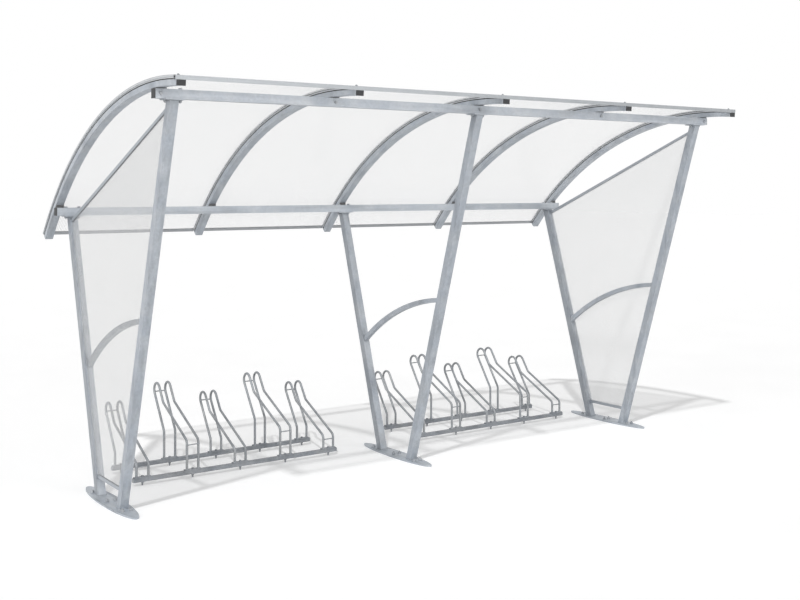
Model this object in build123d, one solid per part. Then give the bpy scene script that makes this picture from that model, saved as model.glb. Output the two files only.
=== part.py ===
from build123d import *
import os
from math import atan2, cos, degrees, hypot, radians, sin, sqrt, tan

# Bicycle shelter with a curved glazed roof, glazed end panels and two wheel racks.
# Millimetres, +Z up. The ground is Z = 0 and the middle frame stands on X = 0.
# X runs along the shelter, Y from the open front (-Y) to the rear (+Y).

# Layout along the shelter
bay_width = 1050.0
bay_count = 4
end_frame_inset = 75.0

# Hollow sections: outside size and wall
post_size = 50.0
post_wall = 3.0
purlin_size = 50.0
purlin_wall = 3.0
purlin_overhang = 4.0
bow_width = 50.0
bow_height = 30.0
bow_wall = 2.5
brace_width = 30.0
brace_height = 30.0
brace_wall = 2.0

# Frames
post_lean = 17.25
foot_offset = 172.0
front_purlin_top = 2347.0
rear_purlin_top = 1712.0
head_plate_length = 110.0
head_plate_width = 84.0
head_plate_thickness = 6.0
brace_radius = 1640.0
brace_centre_y = -638.0
brace_centre_z = -527.0

# Base plates and their anchor holes
base_plate_length = 790.0
base_plate_width = 130.0
base_plate_thickness = 10.0
anchor_hole_radius = 7.0
anchor_end_offset = 244.0
anchor_pair_spacing = 48.0

# Bows
bow_radius = 2438.0
bow_front_overhang = 300.0
bow_rear_overhang = 291.0

# Rubber packing between the purlins and the bows
pad_thickness = 4.0
wedge_depth = 15.0

# Glazing
sheet_thickness = 6.0
gasket_thickness = 3.0
lip_gasket_thickness = 2.0
carrier_height = 7.0
carrier_wall = 2.0
sheet_side_gap = 6.0
glazing_bar_width = 60.0
glazing_bar_height = 5.0
glazing_bar_wall = 2.5
glazing_bar_lip = 6.0
edge_profile_depth = 25.0
edge_profile_wall = 2.0
tail_profile_height = 11.0
tail_profile_depth = 20.0
tail_setback = 3.0

# End panels
panel_top_at_front = 2259.0
panel_top_at_rear = 1641.0
panel_bottom = 110.0
panel_recess = 12.0
trim_height = 20.0
trim_width = 14.0
trim_wall = 2.0

# Plastic caps in the tube ends
cap_flange = 3.0
cap_insert = 15.0

# Wheel racks
holder_count = 5
holder_spacing = 335.0
rack_offset = 8.0
rail_size = 25.0
rail_wall = 2.0
rail_ground_gap = 23.0
rail_end_margin = 60.0
front_rail_y = 264.0
rear_rail_y = 627.0
clamp_length = 110.0
clamp_width = 30.0
clamp_thickness = 6.0
foot_bolt_radius = 5.0
foot_nut_radius = 8.5
foot_nut_height = 8.0
bar_radius = 8.0
cross_bar_radius = 4.0
loop_spacing = 78.0
loop_width = 95.0
loop_lean = 34.7
loop_top_radius = 46.0
loop_bend_radius = 34.0
lean_length = 323.0
high_rear_leg = 177.0
high_front_leg = 181.0
low_drop = 95.0
shoulder_back = 377.0
shoulder_rise = 183.0
top_cross_bar_turn = 15.0
front_cross_bar_drop = 27.0

# Running and seating clearances
seat_clearance = 0.3
slot_clearance = 0.6

# Places that follow from the sizes above
lean_slope = tan(radians(post_lean))
post_half_run = post_size / cos(radians(post_lean)) / 2
bow_x = [(i - bay_count / 2) * bay_width for i in range(bay_count + 1)]
frame_x = {"left": bow_x[0] + end_frame_inset, "middle": 0.0, "right": bow_x[-1] - end_frame_inset}
purlin_length = bay_count * bay_width + bow_width + 2 * purlin_overhang
post_top = {
    "front": front_purlin_top - purlin_size - head_plate_thickness,
    "rear": rear_purlin_top - purlin_size - head_plate_thickness,
}
side_sign = {"front": -1, "rear": 1}


def post_y(side, z):
    """Y of a post's centre line at height z."""
    return side_sign[side] * (foot_offset + z * lean_slope)


purlin_y = {side: post_y(side, post_top[side]) for side in side_sign}
purlin_z = {"front": front_purlin_top - purlin_size / 2, "rear": rear_purlin_top - purlin_size / 2}


def circle_centre(first, second, radius):
    """Centre, below the chord, of the circle of this radius through two (y, z) points."""
    mid_y, mid_z = (first[0] + second[0]) / 2, (first[1] + second[1]) / 2
    run, rise = second[0] - first[0], second[1] - first[1]
    chord = hypot(run, rise)
    reach = sqrt(radius**2 - chord**2 / 4)
    return mid_y + rise / chord * reach, mid_z - run / chord * reach


# The bows rest on the packing, above the rear top corner of each purlin.
front_contact = (purlin_y["front"] + purlin_size / 2, front_purlin_top + pad_thickness)
rear_contact = (purlin_y["rear"] + purlin_size / 2, rear_purlin_top + pad_thickness)
bow_centre = circle_centre(front_contact, rear_contact, bow_radius)
bow_inner = bow_radius + seat_clearance
bow_outer = bow_inner + bow_height
carrier_inner = bow_outer + gasket_thickness
sheet_inner = carrier_inner + carrier_height
sheet_outer = sheet_inner + sheet_thickness
bar_inner = sheet_outer + lip_gasket_thickness
bar_outer = bar_inner + glazing_bar_height


def bow_angle(point):
    """Angle of a (y, z) point about the bow centre, in degrees from vertical to the rear."""
    return degrees(atan2(point[0] - bow_centre[0], point[1] - bow_centre[1]))


def arc_angle(length, radius=bow_radius):
    return degrees(length / radius)


bow_front = bow_angle(front_contact) - arc_angle(bow_front_overhang)
bow_rear = bow_angle(rear_contact) + arc_angle(bow_rear_overhang)
glazing_front = bow_front + arc_angle(edge_profile_depth + seat_clearance)
sheet_front = bow_front + arc_angle(edge_profile_wall + seat_clearance)
sheet_rear = bow_rear - arc_angle(tail_setback)


# Shapes shared by several pieces
def box_between(x_min, x_max, y_min, y_max, z_min, z_max):
    size = (x_max - x_min, y_max - y_min, z_max - z_min)
    return Pos((x_min + x_max) / 2, (y_min + y_max) / 2, (z_min + z_max) / 2) * Box(*size)


def yz_prism(points, x_min, x_max):
    """Prism on a closed (y, z) outline."""
    face = Plane.YZ * make_face(Polyline(*points, close=True))
    return Pos(x_min, 0, 0) * extrude(face, amount=x_max - x_min)


def rectangle_at(x, radius, width, height):
    return Pos(x, radius) * Rectangle(width, height)


def turn_about(centre, section, start, end):
    """Turn a section, drawn as (x, radius), about an axis along X from one angle to another."""
    angle = radians(end)
    plane = Plane(origin=(0, *centre), x_dir=(1, 0, 0), z_dir=(0, -cos(angle), sin(angle)))
    axis = Axis((0, *centre), (1, 0, 0))
    return revolve(plane * section, axis=axis, revolution_arc=end - start)


def tube_section(x, radius, width, height, wall):
    return rectangle_at(x, radius, width, height) - rectangle_at(x, radius, width - 2 * wall, height - 2 * wall)


# Frames
def leaning_prism(side, half_run, half_width, z_min, z_max):
    low, high = post_y(side, z_min), post_y(side, z_max)
    outline = [(low - half_run, z_min), (low + half_run, z_min), (high + half_run, z_max), (high - half_run, z_max)]
    return yz_prism(outline, -half_width, half_width)


def post(side):
    """Square tube, cut level at the base plate and under the head plate."""
    bore_half_run = post_half_run - post_wall / cos(radians(post_lean))
    outside = leaning_prism(side, post_half_run, post_size / 2, base_plate_thickness, post_top[side])
    bore = leaning_prism(
        side, bore_half_run, post_size / 2 - post_wall, base_plate_thickness - 1, post_top[side] + 1
    )
    return outside - bore


def base_plate():
    """Oval plate with a pair of anchor holes between the posts and one beyond each foot."""
    plate = extrude(Ellipse(base_plate_width / 2, base_plate_length / 2), amount=base_plate_thickness)
    hole = Cylinder(anchor_hole_radius, 3 * base_plate_thickness)
    for y in (-anchor_end_offset, 0, anchor_end_offset):
        for x in (-anchor_pair_spacing / 2, anchor_pair_spacing / 2):
            plate -= Pos(x, y, base_plate_thickness / 2) * hole
    return plate


def inner_face_y(side, z):
    """Y of a post's face towards the other post, less the seating clearance."""
    return post_y(side, z) - side_sign[side] * (post_half_run + seat_clearance)


def between_posts(low, high):
    """Outline between the posts, with (front, rear) heights for its lower and upper edges."""
    return [
        (inner_face_y("front", low[0]), low[0]), (inner_face_y("rear", low[1]), low[1]),
        (inner_face_y("rear", high[1]), high[1]), (inner_face_y("front", high[0]), high[0]),
    ]


def brace_arc(x):
    """Curved tube from the rear post up to the front post, mitred to both faces."""
    section = tube_section(x, brace_radius, brace_width, brace_height, brace_wall)
    half_ring = turn_about((brace_centre_y, brace_centre_z), section, -90, 90)
    low, high = base_plate_thickness, post_top["rear"]
    return half_ring & yz_prism(between_posts((low, low), (high, high)), x - brace_width, x + brace_width)


def head_plate(side):
    top = post_top[side] + head_plate_thickness
    half_length, half_width = head_plate_length / 2, head_plate_width / 2
    y = purlin_y[side]
    return box_between(-half_length, half_length, y - half_width, y + half_width, post_top[side], top)


def purlin(side):
    bore = purlin_size - 2 * purlin_wall
    tube = Box(purlin_length, purlin_size, purlin_size) - Box(purlin_length + 2, bore, bore)
    return Pos(0, purlin_y[side], purlin_z[side]) * tube


def tube_cap(width, height, wall):
    """Plug for a tube that ends on Z = 0 and runs down from there."""
    flange = Pos(0, 0, cap_flange / 2) * Box(width, height, cap_flange)
    bore_width, bore_height = width - 2 * wall, height - 2 * wall
    stem = Box(bore_width - 2 * seat_clearance, bore_height - 2 * seat_clearance, cap_insert)
    return fillet(flange.edges().group_by(Axis.Z)[-1], cap_flange / 4) + Pos(0, 0, -cap_insert / 2) * stem


def purlin_caps():
    cap = tube_cap(purlin_size, purlin_size, purlin_wall)
    caps = []
    for side in side_sign:
        for end in (-1, 1):
            place = Pos(end * purlin_length / 2, purlin_y[side], purlin_z[side])
            caps.append(place * Rot(0, end * 90, 0) * cap)
    return caps


# Roof
def roof_bow(x):
    section = tube_section(x, (bow_inner + bow_outer) / 2, bow_width, bow_height, bow_wall)
    return turn_about(bow_centre, section, bow_front, bow_rear)


def bow_end_plane(x, angle, outward):
    """Plane on a bow's cut end: its normal leaves the tube, its local Y is radial."""
    turn = radians(angle)
    middle = (bow_inner + bow_outer) / 2
    origin = (x, bow_centre[0] + middle * sin(turn), bow_centre[1] + middle * cos(turn))
    return Plane(origin=origin, x_dir=(1, 0, 0), z_dir=(0, outward * cos(turn), -outward * sin(turn)))


def bow_caps(angle, outward):
    cap = tube_cap(bow_width, bow_height, bow_wall)
    return [bow_end_plane(x, angle, outward) * cap for x in bow_x]


def packing(x, contact, depth):
    """Rubber block between the flat top of a purlin and the curved bow, as deep as given."""
    half_width = bow_width / 2
    low = contact[1] - pad_thickness
    block = box_between(x - half_width, x + half_width, contact[0] - depth, contact[0], low, low + 2 * depth)
    inside = Pos(x, *bow_centre) * Rot(0, 90, 0) * Cylinder(bow_radius, 2 * bow_width)
    return block & inside


def roof_sheet(bay):
    x_min, x_max = bow_x[bay] + sheet_side_gap, bow_x[bay + 1] - sheet_side_gap
    section = rectangle_at((x_min + x_max) / 2, (sheet_inner + sheet_outer) / 2, x_max - x_min, sheet_thickness)
    return turn_about(bow_centre, section, sheet_front, sheet_rear)


def bow_gaskets(x):
    """Strip under the carrier and one strip under each lip of the glazing bar."""
    under = rectangle_at(x, bow_outer + gasket_thickness / 2, bow_width, gasket_thickness)
    strips = [turn_about(bow_centre, under, glazing_front, bow_rear)]
    for sign in (-1, 1):
        middle = x + sign * (glazing_bar_width - glazing_bar_lip) / 2
        level = (sheet_outer + bar_inner) / 2
        lip = rectangle_at(middle, level, glazing_bar_lip, lip_gasket_thickness)
        strips.append(turn_about(bow_centre, lip, glazing_front, sheet_rear))
    return strips


def glazing_carrier(x):
    """Hollow profile along a bow that the edges of two sheets lie on."""
    section = tube_section(x, (carrier_inner + sheet_inner) / 2, bow_width, carrier_height, carrier_wall)
    return turn_about(bow_centre, section, glazing_front, bow_rear)


def glazing_bar(x):
    """Clamping bar over a bow: a shallow channel, open below."""
    section = rectangle_at(x, (bar_inner + bar_outer) / 2, glazing_bar_width, glazing_bar_height)
    opening_depth = glazing_bar_height - glazing_bar_wall
    opening_width = glazing_bar_width - 2 * glazing_bar_lip
    opening = rectangle_at(x, bar_inner, opening_width, 2 * opening_depth)
    return turn_about(bow_centre, section - opening, glazing_front, sheet_rear)


def end_filler(end):
    """Strip that takes the place of a sheet under the outer lip of an end bar."""
    inner = bow_x[-1] + sheet_side_gap
    outer = bow_x[-1] + glazing_bar_width / 2
    middle = (sheet_inner + sheet_outer) / 2
    section = rectangle_at(end * (inner + outer) / 2, middle, outer - inner, sheet_thickness)
    return turn_about(bow_centre, section, glazing_front, sheet_rear)


def roof_frame(angle):
    """Plane across the roof at an angle: local X runs to the rear along the arc, local Y is radial."""
    turn = radians(angle)
    return Plane(origin=(0, *bow_centre), x_dir=(0, cos(turn), -sin(turn)), z_dir=(1, 0, 0))


def front_edge_profile():
    """Hollow profile across all bows whose slot holds the front edges of the sheets."""
    height = bar_outer - bow_outer
    depth = edge_profile_depth
    outside = Pos(depth / 2, (bow_outer + bar_outer) / 2) * Rectangle(depth, height)
    slot_height = sheet_thickness + slot_clearance
    slot_depth = depth - edge_profile_wall
    slot = Pos(depth - slot_depth / 2, (sheet_inner + sheet_outer) / 2) * Rectangle(slot_depth, slot_height)
    section = outside - slot
    walls = edge_profile_wall + slot_clearance / 2
    levels = (
        (bow_outer + edge_profile_wall, sheet_inner - walls),
        (sheet_outer + walls, bar_outer - edge_profile_wall),
    )
    for low, high in levels:
        section -= Pos(depth / 2, (low + high) / 2) * Rectangle(depth - 2 * edge_profile_wall, high - low)
    length = bay_count * bay_width + glazing_bar_width
    return Pos(-length / 2, 0, 0) * extrude(roof_frame(bow_front) * section, amount=length)


def tail_profile(bay):
    """Small channel along the lower edge of one sheet, between two bows."""
    middle = (sheet_inner + sheet_outer) / 2
    outside = Pos(-tail_profile_depth / 2, middle) * Rectangle(tail_profile_depth, tail_profile_height)
    slot_depth = tail_profile_depth - edge_profile_wall
    slot = Pos(-edge_profile_wall - slot_depth / 2, middle) * Rectangle(slot_depth, sheet_thickness + slot_clearance)
    angle = sheet_rear + arc_angle(edge_profile_wall + seat_clearance)
    x_min = bow_x[bay] + glazing_bar_width / 2 + seat_clearance
    x_max = bow_x[bay + 1] - glazing_bar_width / 2 - seat_clearance
    return Pos(x_min, 0, 0) * extrude(roof_frame(angle) * (outside - slot), amount=x_max - x_min)


# End panels
def panel_levels(inset):
    """Heights at the (front, rear) post of the lower and upper edges, moved in by an inset."""
    low = panel_bottom + inset
    return (low, low), (panel_top_at_front - inset, panel_top_at_rear - inset)


def outward_prism(end, outline, inner, outer):
    """Prism between two distances from the shelter's middle, on the left or right end."""
    edges = sorted((end * inner, end * outer))
    return yz_prism(outline, *edges)


frame_face = frame_x["right"] + post_size / 2
panel_face = frame_face - panel_recess


def side_panel(end):
    outline = between_posts(*panel_levels(trim_wall + seat_clearance))
    return outward_prism(end, outline, panel_face - sheet_thickness, panel_face)


def panel_trims(end):
    """Channels along the bottom edge and the sloping top edge of an end panel."""
    middle = panel_face - sheet_thickness / 2
    half_slot = (sheet_thickness + slot_clearance) / 2
    bottom, top = panel_levels(0)
    bottom_lip, top_lip = panel_levels(trim_height)
    slot = outward_prism(end, between_posts(*panel_levels(trim_wall)), middle - half_slot, middle + half_slot)
    outlines = (between_posts(bottom, bottom_lip), between_posts(top_lip, top))
    return [outward_prism(end, outline, middle - trim_width / 2, middle + trim_width / 2) - slot
            for outline in outlines]


# Wheel racks
rail_top = rail_ground_gap + rail_size
leg_foot = rail_top + clamp_thickness
rack_centre = {"left": -(bay_width + rack_offset), "right": bay_width + rack_offset}
rail_length = (holder_count - 1) * holder_spacing + 2 * rail_end_margin


def holder_x(rack, index):
    return rack_centre[rack] + (index - (holder_count - 1) / 2) * holder_spacing


def rack_rail(rack, y):
    bore = rail_size - 2 * rail_wall
    tube = Box(rail_length, rail_size, rail_size) - Box(rail_length + 2, bore, bore)
    return Pos(rack_centre[rack], y, rail_ground_gap + rail_size / 2) * tube


def loop_path(drop):
    """Corners of one wheel loop as (y, z), from the rear foot over the top to the front foot."""
    lean = radians(loop_lean)
    rear_bend = (rear_rail_y, leg_foot + high_rear_leg - drop)
    top_rear = (rear_bend[0] + lean_length * sin(lean), rear_bend[1] + lean_length * cos(lean))
    top_front = (top_rear[0] - loop_width * cos(lean), top_rear[1] + loop_width * sin(lean))
    front_bend = (front_rail_y, leg_foot + high_front_leg - drop)
    shoulder = (front_bend[0] + shoulder_back, front_bend[1] + shoulder_rise)
    return [
        (rear_rail_y, leg_foot), rear_bend, top_rear, top_front, shoulder, front_bend, (front_rail_y, leg_foot),
    ]


def top_bend_point(corner):
    """Place of the upper cross bar, a small turn along the rounded rear corner of a loop."""
    lean, turn = radians(loop_lean), radians(top_cross_bar_turn)
    back = loop_top_radius * (1 - sin(turn))
    inward = loop_top_radius * (1 - cos(turn))
    y = corner[0] - back * sin(lean) - inward * cos(lean)
    z = corner[1] - back * cos(lean) + inward * sin(lean)
    return y, z


def wheel_loop(x, drop):
    """One bar bent over the wheel, from the rear rail to the front rail."""
    corners = [(x, y, z) for y, z in loop_path(drop)]
    radii = [loop_bend_radius, loop_top_radius, loop_top_radius, loop_bend_radius, loop_bend_radius]
    path = FilletPolyline(*corners, radius=radii)
    section = Plane(origin=corners[0], z_dir=(0, 0, 1)) * Circle(bar_radius)
    return sweep(section, path=path)


def wheel_holder(x, drop):
    """Two loops joined by a cross bar on the upper rear bend and one under the front bend."""
    half = loop_spacing / 2
    corners = loop_path(drop)
    holder = wheel_loop(x - half, drop) + wheel_loop(x + half, drop)
    cross_bar = Rot(0, 90, 0) * Cylinder(cross_bar_radius, loop_spacing)
    holder += Pos(x, *top_bend_point(corners[2])) * cross_bar
    holder += Pos(x, corners[5][0], corners[5][1] - front_cross_bar_drop) * cross_bar
    return holder


def clamp(x, y):
    """Plate on the rail that carries two legs, with the bolt that levels the rail on the ground."""
    half_length, half_width = clamp_length / 2, clamp_width / 2
    plate = box_between(-half_length, half_length, -half_width, half_width, rail_top, leg_foot)
    bolt_top = leg_foot + foot_nut_height
    bolt = Pos(0, 0, bolt_top / 2) * Cylinder(foot_bolt_radius, bolt_top)
    nut = extrude(RegularPolygon(foot_nut_radius, 6), amount=foot_nut_height)
    nuts = Pos(0, 0, leg_foot) * nut + Pos(0, 0, rail_ground_gap - foot_nut_height) * nut
    return Pos(x, y, 0) * (plate + bolt + nuts)


def rail_with_bolt_holes(rack, y):
    rail = rack_rail(rack, y)
    for index in range(holder_count):
        hole = Cylinder(foot_bolt_radius + seat_clearance, 2 * rail_top)
        rail -= Pos(holder_x(rack, index), y, rail_top) * hole
    return rail


def rack_clamps(rack):
    places = [(holder_x(rack, i), y) for i in range(holder_count) for y in (front_rail_y, rear_rail_y)]
    return [clamp(x, y) for x, y in places]


def rack_holders(rack, low):
    """Low holders stand at the even places, counted from the left, and high ones between."""
    indices = [i for i in range(holder_count) if (i % 2 == 0) == low]
    drop = low_drop if low else 0.0
    return [wheel_holder(holder_x(rack, i), drop) for i in indices]


# Assembly: one file for each node
nodes = {}
for name, x in frame_x.items():
    nodes[f"base_plate_{name}"] = [Pos(x, 0, 0) * base_plate()]
    for side in side_sign:
        nodes[f"{side}_post_{name}"] = [Pos(x, 0, 0) * post(side)]

brace_inset = sheet_thickness + seat_clearance + brace_width / 2
brace_x = {"left": -(panel_face - brace_inset), "middle": 0.0, "right": panel_face - brace_inset}
for name, x in brace_x.items():
    nodes[f"brace_arc_{name}"] = [brace_arc(x)]

for side in side_sign:
    nodes[f"{side}_head_plates"] = [Pos(x, 0, 0) * head_plate(side) for x in frame_x.values()]
    nodes[f"{side}_purlin"] = [purlin(side)]
nodes["purlin_end_caps"] = purlin_caps()

for number, x in enumerate(bow_x, start=1):
    nodes[f"roof_bow_{number}"] = [roof_bow(x)]
nodes["bow_front_caps"] = bow_caps(bow_front, -1)
nodes["bow_rear_caps"] = bow_caps(bow_rear, 1)
nodes["bow_wedges"] = [packing(x, rear_contact, wedge_depth) for x in bow_x]
nodes["bow_pads"] = [packing(x, front_contact, purlin_size) for x in bow_x]

for bay in range(bay_count):
    nodes[f"roof_sheet_{bay + 1}"] = [roof_sheet(bay)]
nodes["glazing_gaskets"] = [strip for x in bow_x for strip in bow_gaskets(x)]
nodes["glazing_carriers"] = [glazing_carrier(x) for x in bow_x]
nodes["glazing_bars"] = [glazing_bar(x) for x in bow_x]
nodes["glazing_end_strips"] = [end_filler(end) for end in (-1, 1)]
nodes["roof_front_profile"] = [front_edge_profile()]
nodes["roof_rear_profiles"] = [tail_profile(bay) for bay in range(bay_count)]

for name, end in (("left", -1), ("right", 1)):
    nodes[f"side_panel_{name}"] = [side_panel(end)]
    nodes[f"side_panel_trims_{name}"] = panel_trims(end)

for rack in rack_centre:
    nodes[f"rack_front_rail_{rack}"] = [rail_with_bolt_holes(rack, front_rail_y)]
    nodes[f"rack_rear_rail_{rack}"] = [rail_with_bolt_holes(rack, rear_rail_y)]
    nodes[f"rack_clamps_{rack}"] = rack_clamps(rack)
    nodes[f"low_wheel_holders_{rack}"] = rack_holders(rack, low=True)
    nodes[f"high_wheel_holders_{rack}"] = rack_holders(rack, low=False)

os.makedirs("parts", exist_ok=True)
for name, solids in nodes.items():
    piece = solids[0] if len(solids) == 1 else Compound(children=solids)
    export_step(piece, f"parts/{name}.step")
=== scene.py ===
from math import atan2, ceil, cos, hypot, pi, radians, sin, sqrt, tan

import bpy
import bmesh
from mathutils import Matrix, Vector


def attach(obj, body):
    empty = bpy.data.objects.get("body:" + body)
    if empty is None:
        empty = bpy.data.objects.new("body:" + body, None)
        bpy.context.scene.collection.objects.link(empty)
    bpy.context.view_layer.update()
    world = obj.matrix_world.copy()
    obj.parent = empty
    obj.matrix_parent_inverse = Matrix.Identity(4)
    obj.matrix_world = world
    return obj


# Dresses the bike shelter's solids: materials, fasteners, weld runs, floor, light and camera.
# Metres, +Z up. The ground is Z = 0 and the middle frame stands on X = 0.

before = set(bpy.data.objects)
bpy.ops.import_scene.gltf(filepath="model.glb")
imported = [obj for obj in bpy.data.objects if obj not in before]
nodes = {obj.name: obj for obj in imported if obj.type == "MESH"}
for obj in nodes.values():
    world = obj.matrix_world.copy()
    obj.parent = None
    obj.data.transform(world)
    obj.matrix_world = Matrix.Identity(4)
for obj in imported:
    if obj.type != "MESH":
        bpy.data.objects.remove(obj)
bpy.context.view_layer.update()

# Sizes of the solids that the pieces below sit on. Frames first
seat_clearance = 0.0003
side_sign = {"front": -1, "rear": 1}
frame_x = {"left": -2.025, "middle": 0.0, "right": 2.025}
lean = radians(17.25)
post_half = 0.025
post_half_run = post_half / cos(lean)
foot_offset = 0.172
plate_top = 0.010
anchor_rows = (-0.244, 0.0, 0.244)
anchor_columns = (-0.024, 0.024)
purlin_top = {"front": 2.347, "rear": 1.712}
purlin_size = 0.050
head_plate = 0.006
post_top = {side: purlin_top[side] - purlin_size - head_plate for side in side_sign}
brace_x = {"left": -2.0167, "middle": 0.0, "right": 2.0167}
brace_radius, brace_y, brace_z = 1.640, -0.638, -0.527
brace_half = 0.015

# Roof, from the packing on the purlins outwards
bay = 1.05
bow_x = [(i - 2) * bay for i in range(5)]
pad = 0.004
bow_radius = 2.438
bow_height = 0.030
bow_half = 0.025
front_overhang, rear_overhang = 0.300, 0.291
gasket = 0.003
carrier_height = 0.007
sheet_thickness = 0.006
lip_gasket = 0.002
glazing_bar_height = 0.005
edge_profile_depth = 0.025
tail_setback = 0.003
bow_top = bow_radius + seat_clearance + bow_height
sheet_under = bow_top + gasket + carrier_height
bar_top = sheet_under + sheet_thickness + lip_gasket + glazing_bar_height

# Wheel racks
rack_x = {"left": -1.058, "right": 1.058}
holder_count = 5
holder_spacing = 0.335
rail_y = {"front": 0.264, "rear": 0.627}
rail_top = 0.048
rail_size = 0.025
rail_end_margin = 0.060
rail_half_length = 2 * holder_spacing + rail_end_margin
leg_foot = 0.054
leg_half = 0.039
low_drop = 0.095
loop_lean = radians(34.7)
lean_length = 0.323
top_bend = 0.046
top_bar_turn = radians(15)
rear_leg, front_leg = 0.177, 0.181
front_bar_drop = 0.027

# Radius and thickness of the washer, width across the hexagon's flats, its top and its hole
fastener_sizes = {
    "anchor_nut": (0.0120, 0.0025, 0.0190, 0.0120, 0.0060),
    "purlin_head": (0.0105, 0.0020, 0.0170, 0.0085, 0.0),
    "purlin_nut": (0.0105, 0.0020, 0.0170, 0.0100, 0.0050),
    "bow_head": (0.0100, 0.0018, 0.0160, 0.0080, 0.0),
}
anchor_stud, purlin_stud = 0.0058, 0.0048
purlin_bolt_offset = 0.042
front_screw_inset, rear_screw_inset = 0.037, 0.050

# Half thickness of each weld run, and how far the runs at the posts stand off them
weld_size = {"foot": 0.0042, "head": 0.0034, "brace": 0.0030, "leg": 0.0026, "cross_bar": 0.0019}
weld_offset = 0.0006

# Half width of a rail plug and distance out from the tube's end, from its inner tip to its head
plug_profile = [
    (0.0090, -0.0150), (0.0103, -0.0120), (0.0096, -0.0115), (0.0103, -0.0070),
    (0.0096, -0.0065), (0.0103, -0.0020), (0.0100, 0.0001), (0.0124, 0.0001),
    (0.0125, 0.0016), (0.0116, 0.0028), (0.0090, 0.0034),
]


def post_y(side, z):
    """Y of a post's centre line at height z."""
    return side_sign[side] * (foot_offset + z * tan(lean))


purlin_y = {side: post_y(side, post_top[side]) for side in side_sign}


def bow_circle():
    """Centre and end angles of the circle under the bows, which rest on packing on the purlins."""
    first = Vector((purlin_y["front"] + purlin_size / 2, purlin_top["front"] + pad))
    second = Vector((purlin_y["rear"] + purlin_size / 2, purlin_top["rear"] + pad))
    chord = second - first
    reach = sqrt(bow_radius**2 - chord.length_squared / 4)
    middle = (first + second) / 2
    centre = middle + Vector((chord.y, -chord.x)) / chord.length * reach
    start = atan2(first.x - centre.x, first.y - centre.y) - front_overhang / bow_radius
    end = atan2(second.x - centre.x, second.y - centre.y) + rear_overhang / bow_radius
    return centre, start, end


bow_centre, bow_start, bow_end = bow_circle()
glazing_start = bow_start + (edge_profile_depth + seat_clearance) / bow_radius
glazing_end = bow_end - tail_setback / bow_radius


def on_roof(x, turn, radius):
    """Point at a radius from the bows' centre, turned to the rear from straight above it."""
    return Vector((x, bow_centre.x + radius * sin(turn), bow_centre.y + radius * cos(turn)))


def turns(count):
    """Even angles once round a circle."""
    return [2 * pi * k / count for k in range(count)]


# Materials
class Graph:
    """Adds and links the shader nodes of a material or a world."""

    def __init__(self, owner):
        self.owner = owner
        owner.use_nodes = True
        self.tree = owner.node_tree
        self.tree.nodes.clear()

    def fill(self, socket, value):
        """Link an output to the socket, or set a constant on it."""
        if hasattr(value, "is_output"):
            self.tree.links.new(value, socket)
        else:
            socket.default_value = value

    def add(self, kind, values=None, **settings):
        node = self.tree.nodes.new(kind)
        for key, value in settings.items():
            setattr(node, key, value)
        for key, value in (values or {}).items():
            self.fill(node.inputs[key], value)
        return node

    def coords(self):
        return self.add("ShaderNodeTexCoord").outputs["Object"]

    def mapped(self, scale):
        values = {"Vector": self.coords(), "Scale": scale}
        return self.add("ShaderNodeMapping", values).outputs["Vector"]

    def noise(self, scale, detail, rough, stretch=(1, 1, 1)):
        vector = self.mapped(stretch)
        values = {"Vector": vector, "Scale": scale, "Detail": detail, "Roughness": rough}
        return self.add("ShaderNodeTexNoise", values).outputs["Fac"]

    def place(self):
        """X, Y and Z of the shaded point."""
        return self.add("ShaderNodeSeparateXYZ", {"Vector": self.coords()}).outputs

    def ramp(self, factor, stops):
        node = self.add("ShaderNodeValToRGB", {"Fac": factor})
        elements = node.color_ramp.elements
        while len(elements) < len(stops):
            elements.new(0.5)
        for element, (place, value) in zip(elements, stops):
            element.position = place
            element.color = (value, value, value, 1) if isinstance(value, float) else (*value, 1)
        return node.outputs["Color"]

    def blend(self, kind, factor, first, second):
        node = self.add("ShaderNodeMix", {0: factor}, data_type="RGBA", blend_type=kind)
        for key, value in ((6, first), (7, second)):
            self.fill(node.inputs[key], value if hasattr(value, "is_output") else (*value, 1))
        return node.outputs[2]

    def shade(self, colour, tone, factor=1.0):
        return self.blend("MULTIPLY", factor, colour, tone)

    def math(self, operation, first, second=0.5, third=0.0):
        values = {0: first, 1: second, 2: third}
        return self.add("ShaderNodeMath", values, operation=operation).outputs[0]

    def surface(self, shader, kind="ShaderNodeOutputMaterial"):
        self.add(kind, {"Surface": shader.outputs[0]})
        return self.owner

    def principled(self, colour, roughness, height, strength, distance, **values):
        """Surface with a bump of this height, strength and distance."""
        bump = {"Height": height, "Strength": strength, "Distance": distance}
        values["Normal"] = self.add("ShaderNodeBump", bump).outputs["Normal"]
        values.update({"Base Color": colour, "Roughness": roughness})
        return self.surface(self.add("ShaderNodeBsdfPrincipled", values))


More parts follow.
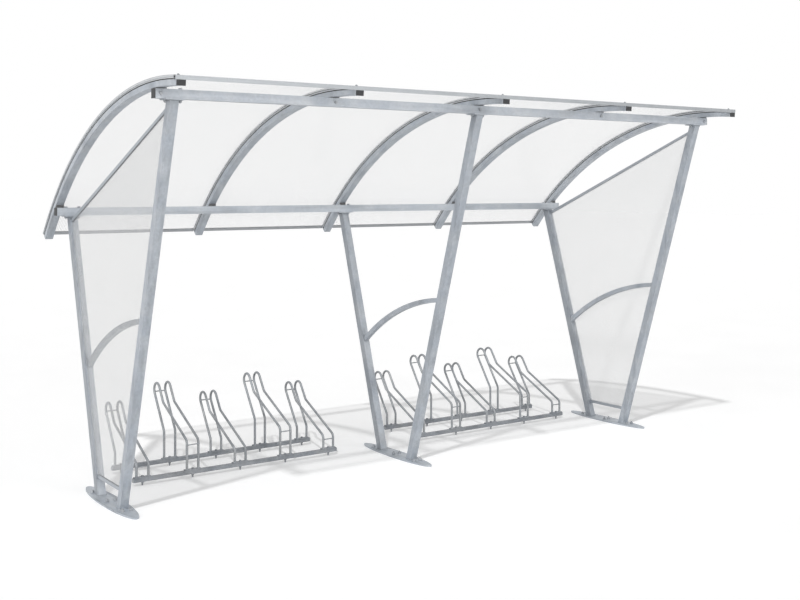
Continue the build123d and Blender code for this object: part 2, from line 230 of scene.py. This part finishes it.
def galvanised(name, base, stretch, spread=0.10):
    """Hot-dip zinc: crystal patches, cloudy mottling and runs that follow the dipped tube."""
    g = Graph(bpy.data.materials.new(name))
    patches = g.add("ShaderNodeTexVoronoi", {"Vector": g.mapped((1, 1, 1)), "Scale": 95.0})
    split = g.add("ShaderNodeSeparateColor", {"Color": patches.outputs["Color"]})
    crystals = split.outputs[0]
    clouds = g.noise(9.0, 4.0, 0.6)
    runs = g.noise(26.0, 5.0, 0.62, stretch)
    fine = g.noise(420.0, 3.0, 0.6)
    run_stops = [(0.28, 1.0 - 2.2 * spread), (0.5, 1.0), (0.74, 1.0 + 1.2 * spread)]
    cloud_stops = [(0.3, 1.0 - 1.2 * spread), (0.7, 1.0 + 0.6 * spread)]
    crystal_stops = [(0.0, 1.0 - 0.7 * spread), (1.0, 1.0 + 0.5 * spread)]
    blue_stops = [(0.35, (0.97, 0.99, 1.03)), (0.65, (1.02, 1.0, 0.98))]
    colour = g.shade(base, g.ramp(runs, run_stops))
    colour = g.shade(colour, g.ramp(clouds, cloud_stops))
    colour = g.shade(colour, g.ramp(crystals, crystal_stops))
    colour = g.shade(colour, g.ramp(clouds, blue_stops), 0.7)
    rough = g.math("MULTIPLY_ADD", crystals, 0.14, 0.40)
    height = g.math("ADD", fine, g.math("MULTIPLY", crystals, 0.5))
    return g.principled(colour, rough, height, 0.16, 0.0006, Metallic=0.3)


def aluminium(name, base):
    """Mill-finish extrusion with fine die lines along it and a thin dull film."""
    g = Graph(bpy.data.materials.new(name))
    lines = g.noise(300.0, 2.0, 0.5, (0.03, 1, 1))
    film = g.noise(14.0, 3.0, 0.6)
    colour = g.shade(base, g.ramp(lines, [(0.3, 0.92), (0.7, 1.04)]))
    colour = g.shade(colour, g.ramp(film, [(0.3, 0.93), (0.7, 1.03)]))
    rough = g.math("MULTIPLY_ADD", film, 0.16, 0.30)
    return g.principled(colour, rough, lines, 0.12, 0.0004, Metallic=0.6)


def plastic(name, base):
    """Moulded polyethylene with a fine grain and a dusting on it."""
    g = Graph(bpy.data.materials.new(name))
    grain = g.noise(900.0, 3.0, 0.6)
    dust = g.noise(40.0, 4.0, 0.65)
    colour = g.shade(base, g.ramp(dust, [(0.35, 0.85), (0.75, 1.5)]))
    rough = g.math("MULTIPLY_ADD", dust, 0.18, 0.41)
    return g.principled(colour, rough, grain, 0.25, 0.0003)


def rubber(name, base):
    """Extruded rubber, dull, with chalky wear."""
    g = Graph(bpy.data.materials.new(name))
    grain = g.noise(600.0, 4.0, 0.7)
    chalk = g.noise(60.0, 4.0, 0.7)
    colour = g.shade(base, g.ramp(chalk, [(0.4, 0.8), (0.8, 1.9)]))
    rough = g.math("MULTIPLY_ADD", chalk, 0.12, 0.66)
    return g.principled(colour, rough, grain, 0.3, 0.0003)


def gasket_rubber(name, low, high, split):
    """Black rubber under the carriers and pale lips above the sheets, told apart by radius."""
    g = Graph(bpy.data.materials.new(name))
    place = g.place()
    across = g.math("SUBTRACT", place[1], bow_centre.x)
    up = g.math("SUBTRACT", place[2], bow_centre.y)
    squares = g.math("MULTIPLY_ADD", across, across, g.math("MULTIPLY", up, up))
    above = g.math("GREATER_THAN", g.math("SQRT", squares), split)
    chalk = g.noise(60.0, 4.0, 0.7)
    grain = g.noise(600.0, 4.0, 0.7)
    colour = g.blend("MIX", above, low, high)
    colour = g.shade(colour, g.ramp(chalk, [(0.35, 0.88), (0.75, 1.06)]))
    rough = g.math("MULTIPLY_ADD", chalk, 0.12, 0.60)
    return g.principled(colour, rough, grain, 0.3, 0.0003)


def clear_sheet(name, axis, opacity, painted_shade=1.0):
    """Twin-wall sheet: faint flutes spaced along an axis, a milky haze and a polished skin; the
    last argument scales the haze colour down as painted shade.
    """
    flute_pitch, web_share = 0.0105, 0.16
    haze_stops = [(0.3, (0.90, 0.91, 0.92)), (0.7, (0.955, 0.96, 0.96))]
    # Haze colour times the painted shade factor
    haze_stops_painted_shade = [(stop, tuple(part * painted_shade for part in tone)) for stop, tone in haze_stops]
    g = Graph(bpy.data.materials.new(name))
    flute = g.math("FRACT", g.math("MULTIPLY", g.place()[axis], 1 / flute_pitch))
    web = g.math("LESS_THAN", flute, web_share)
    haze = g.noise(5.0, 4.0, 0.6)
    speckle = g.noise(160.0, 3.0, 0.7)
    colour = g.shade(g.ramp(haze, haze_stops_painted_shade), g.ramp(speckle, [(0.3, 0.965), (0.7, 1.0)]))
    between = g.math("MULTIPLY_ADD", speckle, 0.05, opacity)
    alpha = g.math("ADD", g.math("MULTIPLY", web, 0.13), between)
    rough = g.math("MULTIPLY_ADD", haze, 0.10, 0.16)
    return g.principled(colour, rough, web, 0.2, 0.0005, Alpha=alpha, IOR=1.49)


# How the runs in the zinc are drawn out: along upright tubes, along X, or along the curves
upright, lengthwise, curved, even = (1, 1, 0.09), (0.07, 1, 1), (1, 0.3, 0.3), (1, 1, 1)
post_grey = (0.43, 0.463, 0.502)
steel = {
    "front_post": galvanised("galvanised_upright", post_grey, upright),
    # Rear posts: a darker copy of the post zinc, painted shade for the roof's shade on them
    "rear_post": galvanised("zinc_rear_post_painted_shade", (0.345, 0.371, 0.402), upright),
    # Front purlins: a lighter copy of the zinc, painted light for their lit front faces
    "front_purlin": galvanised("zinc_front_purlin_painted_light", (0.475, 0.505, 0.54), lengthwise),
    # Rear purlins: a darker copy of the purlin zinc, painted shade
    "rear_purlin": galvanised("zinc_rear_purlin_painted_shade", (0.425, 0.455, 0.488), lengthwise),
    # Bows: a lighter copy of the zinc, painted light that makes up for the roof sheets' shade on
    # them
    "bow": galvanised("zinc_bow_painted_light", (0.475, 0.51, 0.55), curved),
    "bent": galvanised("galvanised_bent", post_grey, curved),
    "rack": galvanised("galvanised_rack", (0.27, 0.285, 0.305), (0.2, 1, 0.6), 0.13),
    "bar": galvanised("galvanised_bar", (0.34, 0.355, 0.37), (1, 0.4, 0.15), 0.12),
    "zinc": galvanised("zinc_fastener", (0.40, 0.42, 0.44), even, 0.08),
    "weld": galvanised("zinc_weld", (0.33, 0.355, 0.38), even, 0.16),
}
aluminium_bar = aluminium("aluminium_extrusion", (0.52, 0.54, 0.56))
aluminium_carrier = aluminium("aluminium_carrier", (0.78, 0.80, 0.82))
aluminium_front = aluminium("aluminium_front_edge", (0.38, 0.398, 0.415))
aluminium_trim = aluminium("aluminium_trim", (0.42, 0.45, 0.485))
aluminium_tail = aluminium("aluminium_tail_edge", (0.42, 0.435, 0.455))
# Pale strips under the sheets' edges: painted light on a band that falls in shade
pale_strip_painted_light = aluminium("pale_strip_painted_light", (0.86, 0.87, 0.88))
black_plastic = plastic("black_polyethylene", (0.018, 0.019, 0.021))
grey_plastic = plastic("grey_polyethylene", (0.32, 0.34, 0.36))
black_rubber = rubber("black_rubber_strip", (0.028, 0.028, 0.03))
packing_rubber = rubber("packing_rubber", (0.13, 0.132, 0.135))
gasket_strip = gasket_rubber(
    "gasket_strip", (0.025, 0.025, 0.027), (0.78, 0.79, 0.80), bow_top + 0.009)
roof_glazing = clear_sheet("roof_twin_wall", 0, 0.13)
# Side panels: the same sheet, with a darker haze than the roof as painted shade; the sunlit left
# panel gets the most shade and a denser alpha, the shaded right panel less
left_glazing = clear_sheet("left_panel_sheet_painted_shade", 1, 0.24, 0.67)
right_glazing = clear_sheet("right_panel_sheet_painted_shade", 1, 0.19, 0.80)

# Material of each solid, by the start of its node's name. The other solids are black end caps
cad_materials = [
    (("front_post",), steel["front_post"]),
    (("rear_post",), steel["rear_post"]),
    (("front_purlin", "front_head"), steel["front_purlin"]),
    (("rear_purlin", "rear_head"), steel["rear_purlin"]),
    (("roof_bow",), steel["bow"]),
    (("brace_arc", "base_plate"), steel["bent"]),
    (("rack_front", "rack_rear", "rack_clamps"), steel["rack"]),
    (("low_wheel", "high_wheel"), steel["bar"]),
    (("roof_sheet",), roof_glazing),
    (("side_panel_left",), left_glazing),
    (("side_panel_right",), right_glazing),
    (("side_panel_trims",), aluminium_trim),
    (("glazing_bars", "glazing_end_strips"), aluminium_bar),
    (("glazing_carriers",), aluminium_carrier),
    (("glazing_gaskets",), gasket_strip),
    (("roof_front_profile",), aluminium_front),
    (("roof_rear_profiles",), aluminium_tail),
    (("bow_wedges", "bow_pads"), packing_rubber),
    (("bow_rear_caps",), grey_plastic),
    (("",), black_plastic),
]
for name, node in nodes.items():
    node.data.materials.clear()
    look = next(material for starts, material in cad_materials if name.startswith(starts))
    node.data.materials.append(look)


# Mesh pieces
link = bpy.context.scene.collection.objects.link


class Mesh:
    """Collects turned, swept and placed forms into one mesh."""

    def __init__(self):
        self.bm = bmesh.new()

    def rings(self, loops, closed=False):
        """Skin a list of loops, each of the same number of points, into a ring or a capped bar."""
        made = [[self.bm.verts.new(point) for point in loop] for loop in loops]
        pairs = list(zip(made, made[1:]))
        if closed:
            pairs.append((made[-1], made[0]))
        for low, high in pairs:
            for i in range(len(low)):
                j = (i + 1) % len(low)
                self.bm.faces.new((low[i], low[j], high[j], high[i]))
        if not closed:
            self.bm.faces.new(made[0][::-1])
            self.bm.faces.new(made[-1])

    def lathe(self, matrix, profile, segments, shape=None):
        """Turn (radius, height) pairs about Z; shape may change the radius with the angle."""
        loops = []
        for radius, height in profile:
            loop = []
            for turn in turns(segments):
                r = shape(turn, radius) if shape else radius
                loop.append(matrix @ Vector((r * cos(turn), r * sin(turn), height)))
            loops.append(loop)
        self.rings(loops)

    def washer(self, matrix, outer, low, high):
        edge = (high - low) * 0.3
        profile = [
            (outer - edge, low), (outer, low + edge), (outer, high - edge), (outer - edge, high),
        ]
        self.lathe(matrix, profile, 28)

    def hexagon(self, matrix, across, low, high, hole=0.0):
        """Hexagon nut or head with its corners turned down at the top."""
        flat = across / 2
        corner = flat / cos(pi / 6)
        drop = 0.30 * (corner - flat) + 0.0004

        def side(turn, radius):
            return min(flat / cos((turn + pi / 6) % (pi / 3) - pi / 6), radius)

        profile = [
            (flat * 0.97, low), (corner, low + drop), (corner, high - drop * 1.6),
            (flat * 0.985, high), (max(hole, flat * 0.4), high - 0.02 * (high - low)),
        ]
        self.lathe(matrix, profile, 36, side)

    def fastener(self, matrix, kind):
        """Hexagon nut or head on its washer."""
        radius, thickness, across, top, hole = fastener_sizes[kind]
        self.washer(matrix, radius, 0.0, thickness)
        self.hexagon(matrix, across, thickness, top, hole)

    def stud(self, matrix, radius, low, high, pitch=0.0016):
        """Threaded end with a rounded tip."""
        root = radius * 0.86
        count = max(2, int((high - low) / pitch))
        profile = [(radius * 0.9, low)]
        for k in range(count):
            z = low + (high - low) * k / count
            profile += [(radius, z + 0.3 * pitch), (root, z + 0.8 * pitch)]
        profile += [(root, high - 0.0002), (radius * 0.6, high)]
        self.lathe(matrix, profile, 16)

    def bead(self, points, size, pitch=0.004, seed=0):
        """Weld run round a closed path: overlapping scales with a slightly uneven width."""
        path = resample(points, pitch / 4)
        loops = []
        for k, point in enumerate(path):
            along = (path[(k + 1) % len(path)] - path[k - 1]).normalized()
            steep = abs(along.z) > 0.95
            side = (along.orthogonal() if steep else along.cross(Vector((0, 0, 1)))).normalized()
            up = side.cross(along)
            scale = 0.13 * ((k % 4) / 3 - 0.5)
            sway = 0.10 * sin(k * 0.37 + seed * 1.7) * sin(k * 0.11 + seed)
            r = size * (1.0 + scale + sway)
            loops.append([point + (side * cos(a) + up * sin(a)) * r for a in turns(8)])
        self.rings(loops, closed=True)

    def collar(self, matrix, radius, size, seed=0):
        """Weld ring round a thin bar that runs along Z."""
        loops = []
        for k, turn in enumerate(turns(20)):
            r = size * (1.0 + 0.12 * ((k % 3) / 2 - 0.5) + 0.08 * sin(2 * turn + seed))
            loop = []
            for a in turns(6):
                reach = radius + r * cos(a)
                loop.append(matrix @ Vector((reach * cos(turn), reach * sin(turn), r * sin(a))))
            loops.append(loop)
        self.rings(loops, closed=True)

    def arc_strip(self, x_range, radius_range):
        """Flat strip that follows the roof's curve, between the two edge profiles."""
        (x_low, x_high), (low, high) = x_range, radius_range
        steps = 90
        loops = []
        for k in range(steps + 1):
            turn = glazing_start + (glazing_end - glazing_start) * k / steps
            corners = [(x_low, low), (x_high, low), (x_high, high), (x_low, high)]
            loops.append([on_roof(x, turn, radius) for x, radius in corners])
        self.rings(loops)

    def piece(self, name, material, slot):
        """Put the mesh in the scene, smooth except at edges sharper than 35 degrees."""
        bmesh.ops.recalc_face_normals(self.bm, faces=self.bm.faces)
        mesh = bpy.data.meshes.new(name)
        self.bm.to_mesh(mesh)
        self.bm.free()
        mesh.shade_smooth()
        mesh.set_sharp_from_angle(angle=radians(35))
        mesh.materials.append(material)
        piece = bpy.data.objects.new(name, mesh)
        link(piece)
        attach(piece, "root")


def resample(points, step):
    """Even points round a closed path of straight runs."""
    path = []
    for a, b in zip(points, points[1:] + points[:1]):
        count = max(1, ceil((b - a).length / step))
        path += [a.lerp(b, k / count) for k in range(count)]
    return path


def at(point, axis=(0, 0, 1), turn=0.0):
    """Place whose Z runs along an axis, turned about it."""
    spin = Matrix.Rotation(turn, 4, "Z")
    tilt = Vector(axis).to_track_quat("Z", "Y").to_matrix().to_4x4()
    return Matrix.Translation(point) @ tilt @ spin


# Ground anchors: washer, nut and stud in each hole of the base plates
for name, x in frame_x.items():
    bolts = Mesh()
    for row, y in enumerate(anchor_rows):
        for column, dx in enumerate(anchor_columns):
            place = at((x + dx, y, plate_top), turn=0.35 * row + 0.8 * column)
            bolts.fastener(place, "anchor_nut")
            tip = 0.0180 + 0.002 * ((row + column) % 2)
            bolts.stud(place, anchor_stud, -0.0090, tip)
    bolts.piece(f"anchor_bolts_{name}", steel["zinc"], "galvanised_steel")

# Weld runs round the feet and heads of the posts
for name, x in frame_x.items():
    welds = Mesh()
    for number, side in enumerate(side_sign):
        w, d = post_half + weld_offset, post_half_run + weld_offset
        corners = [(-w, -d), (w, -d), (w, d), (-w, d)]
        for level, (end, height) in enumerate((("foot", plate_top), ("head", post_top[side]))):
            y = post_y(side, height)
            points = [Vector((x + dx, y + dy, height)) for dx, dy in corners]
            welds.bead(points, weld_size[end], seed=number + 2 * level)
    welds.piece(f"post_welds_{name}", steel["weld"], "galvanised_steel")


def brace_end(side, radius):
    """Where a circle of the brace meets the inner face of a post, found by halving."""
    offset = foot_offset - post_half_run - seat_clearance
    low, high = 0.1, 1.6
    for _ in range(60):
        z = (low + high) / 2
        y = side_sign[side] * (offset + z * tan(lean))
        if hypot(y - brace_y, z - brace_z) > radius:
            high = z
        else:
            low = z
    return y, z


# Weld runs round both ends of each curved brace
brace_weld_half = brace_half + 0.0004
for name, centre in brace_x.items():
    welds = Mesh()
    for number, side in enumerate(side_sign):
        y_low, z_low = brace_end(side, brace_radius - brace_half)
        y_high, z_high = brace_end(side, brace_radius + brace_half)
        x_low, x_high = centre - brace_weld_half, centre + brace_weld_half
        corners = [
            (x_low, y_low, z_low), (x_high, y_low, z_low),
            (x_high, y_high, z_high), (x_low, y_high, z_high),
        ]
        welds.bead([Vector(corner) for corner in corners], weld_size["brace"], seed=number)
    welds.piece(f"brace_welds_{name}", steel["weld"], "galvanised_steel")

# Bolts through purlin and head plate, a pair at each post
bolts = Mesh()
for side in side_sign:
    for x in frame_x.values():
        for number, dx in enumerate((-purlin_bolt_offset, purlin_bolt_offset)):
            bolt_x, y = x + dx, purlin_y[side]
            head = at((bolt_x, y, purlin_top[side]), turn=0.4 + 0.5 * number)
            nut = at((bolt_x, y, post_top[side]), axis=(0, 0, -1), turn=0.2 + 0.3 * number)
            bolts.fastener(head, "purlin_head")
            bolts.fastener(nut, "purlin_nut")
            bolts.stud(nut, purlin_stud, 0.0095, 0.0150)
bolts.piece("purlin_bolts", steel["zinc"], "galvanised_steel")

# Bolts that hold each bow to the purlins, through the purlin's outer faces
bolts = Mesh()
for side, sign in side_sign.items():
    face_y = purlin_y[side] + sign * purlin_size / 2
    level = purlin_top[side] - purlin_size / 2
    for number, x in enumerate(bow_x):
        place = at((x, face_y, level), axis=(0, sign, 0), turn=0.3 * number)
        bolts.fastener(place, "bow_head")
bolts.piece("bow_bolts", steel["zinc"], "galvanised_steel")

# Self-drilling screws with sealing washers along each glazing bar
screws = Mesh()
seals = Mesh()
screw_count = 9
first_screw = bow_start + front_screw_inset / bow_radius
last_screw = bow_end - rear_screw_inset / bow_radius
for x in bow_x:
    for number in range(screw_count):
        turn = first_screw + (last_screw - first_screw) * number / (screw_count - 1)
        axis = (0, sin(turn), cos(turn))
        place = at(on_roof(x, turn, bar_top), axis=axis, turn=0.7 * number)
        seals.washer(place, 0.0075, 0.0, 0.0018)
        screws.washer(place, 0.0082, 0.0016, 0.0030)
        screws.hexagon(place, 0.0080, 0.0030, 0.0078)
seals.piece("bar_seals", black_rubber, "black_rubber")
screws.piece("bar_screws", steel["zinc"], "galvanised_steel")


def cross_bar_places(index):
    """Both cross bars of a holder as (y, z): on its upper rear bend and under its front bend."""
    drop = low_drop if index % 2 == 0 else 0.0
    back = top_bend * (1 - sin(top_bar_turn))
    inward = top_bend * (1 - cos(top_bar_turn))
    up = lean_length - back
    y = rail_y["rear"] + up * sin(loop_lean) - inward * cos(loop_lean)
    z = leg_foot + rear_leg - drop + up * cos(loop_lean) + inward * sin(loop_lean)
    return (y, z), (rail_y["front"], leg_foot + front_leg - drop - front_bar_drop)


# Weld rings where the bent bars stand on their clamp plates, and at the ends of the cross bars
leg_ring, cross_bar_ring, cross_bar_inset = 0.0085, 0.0044, 0.0074
for rack, centre in rack_x.items():
    welds = Mesh()
    for index in range(holder_count):
        holder_x = centre + (index - 2) * holder_spacing
        for y in rail_y.values():
            for dx in (-leg_half, leg_half):
                ring = [(leg_ring * cos(a), leg_ring * sin(a)) for a in turns(12)]
                points = [Vector((holder_x + dx + u, y + v, leg_foot)) for u, v in ring]
                welds.bead(points, weld_size["leg"], pitch=0.0045, seed=index + dx)
        for y, z in cross_bar_places(index):
            for sign in (-1, 1):
                x = holder_x + sign * (leg_half - cross_bar_inset)
                place = at((x, y, z), axis=(sign, 0, 0))
                welds.collar(place, cross_bar_ring, weld_size["cross_bar"], seed=index + sign)
    welds.piece(f"holder_welds_{rack}", steel["weld"], "galvanised_steel")

# Pale strips under the sheets' edges beside each bow, painted light on a band that falls in shade,
# and the gasket's lips against the carrier
strip_sides = (bow_half + 0.0002, bow_half + 0.0068)
lip_sides = (bow_half - 0.0001, bow_half + 0.0006)
painted_light_strips = Mesh()
lips = Mesh()
for x in bow_x:
    for sign in (-1, 1):
        if abs(x + sign * bay) < abs(bow_x[0]) + bay / 2:
            edges = sorted(x + sign * side for side in strip_sides)
            # Pale strip under the sheet's edge: painted light on the shaded band beside the
            # carrier
            painted_light_strips.arc_strip(edges, (sheet_under - 0.0005, sheet_under - 0.0001))
        edges = sorted(x + sign * side for side in lip_sides)
        lips.arc_strip(edges, (bow_top + 0.0026, bow_top + 0.0054))
painted_light_strips.piece("edge_strips_painted_light", pale_strip_painted_light, "aluminium_profile")
lips.piece("gasket_lips", black_rubber, "black_rubber")


def rounded_square(place, half, depth):
    """Outline of a rail plug at one depth, with four points to a corner."""
    corner = half * 0.22
    flat = half - corner
    loop = []
    for quarter in range(4):
        turn = Matrix.Rotation(quarter * pi / 2, 3, "Z")
        for angle in (step * pi / 6 for step in range(4)):
            point = Vector((flat + corner * cos(angle), flat + corner * sin(angle), depth))
            loop.append(place @ (turn @ point))
    return loop


# Ribbed plastic plugs in the open ends of the rack rails
plugs = Mesh()
for centre in rack_x.values():
    for y in rail_y.values():
        for end in (-1, 1):
            tip = (centre + end * rail_half_length, y, rail_top - rail_size / 2)
            place = at(tip, axis=(end, 0, 0))
            plugs.rings([rounded_square(place, half, depth) for half, depth in plug_profile])
plugs.piece("rail_plugs", grey_plastic, "grey_plastic")

# Pale floor, just under ground level, that takes the shelter's shadow
floor_reach, floor_drop, floor_glow = 60, 0.0002, 0.26
corners = [(-1, -1), (1, -1), (1, 1), (-1, 1)]
points = [(floor_reach * x, floor_reach * y, 0) for x, y in corners]
floor_mesh = bpy.data.meshes.new("floor")
floor_mesh.from_pydata(points, [], [(0, 1, 2, 3)])
ground = bpy.data.objects.new("floor", floor_mesh)
link(ground)
ground.location.z = -floor_drop

g = Graph(bpy.data.materials.new("pale_floor"))
tone = g.ramp(g.noise(1.5, 4.0, 0.6), [(0.3, 0.80), (0.7, 0.83)])
path = g.add("ShaderNodeLightPath").outputs
seen = g.math("MAXIMUM", path["Is Camera Ray"], path["Is Glossy Ray"])
strength = g.math("MULTIPLY", seen, floor_glow)
diffuse = g.add("ShaderNodeBsdfDiffuse", {"Color": tone, "Roughness": 0.0})
glow = g.add("ShaderNodeEmission", {"Color": (1, 1, 1, 1), "Strength": strength})
both = g.add("ShaderNodeAddShader", {0: diffuse.outputs[0], 1: glow.outputs[0]})
floor_mesh.materials.append(g.surface(both))

# Soft light from all round; the background is white where it is seen, reflected or seen through
world = bpy.data.worlds.new("studio")
bpy.context.scene.world = world
world_light, world_white = 0.38, 1.0
g = Graph(world)
path = g.add("ShaderNodeLightPath").outputs
seen = g.math("MAXIMUM", path["Is Camera Ray"], path["Is Glossy Ray"])
seen = g.math("MAXIMUM", seen, path["Is Transmission Ray"])
level = g.add("ShaderNodeMapRange", {"Value": seen, "To Min": world_light, "To Max": world_white})
sky = {"Color": (1, 1, 1, 1), "Strength": level.outputs["Result"]}
g.surface(g.add("ShaderNodeBackground", sky), "ShaderNodeOutputWorld")


def sun(name, travel, strength, angle):
    """Even light with one direction of travel, so the floor keeps one tone out to the horizon."""
    data = bpy.data.lights.new(name, "SUN")
    data.energy = strength
    data.angle = radians(angle)
    light = bpy.data.objects.new(name, data)
    light.rotation_euler = Vector(travel).to_track_quat("-Z", "Y").to_euler()
    link(light)


sun("key", (0.55, 0.46, -1.0), 1.6, 2)
sun("front_fill", (-0.25, 1.0, -0.12), 1.3, 45)
sun("side_fill", (1.0, 0.25, -0.12), 1.1, 45)

# Camera, worked out from the photo's straight edges
camera_data = bpy.data.cameras.new("camera")
camera_data.sensor_width = 36.0
camera_data.lens = 49.954
camera_data.shift_y = -0.1396
camera_data.clip_end = 200.0
camera = bpy.data.objects.new("camera", camera_data)
camera.location = (-4.3543, -6.2704, 1.8345)
camera.rotation_euler = (radians(90), 0, -0.61015)
link(camera)
bpy.context.scene.camera = camera
bpy.context.scene.view_settings.view_transform = "Standard"
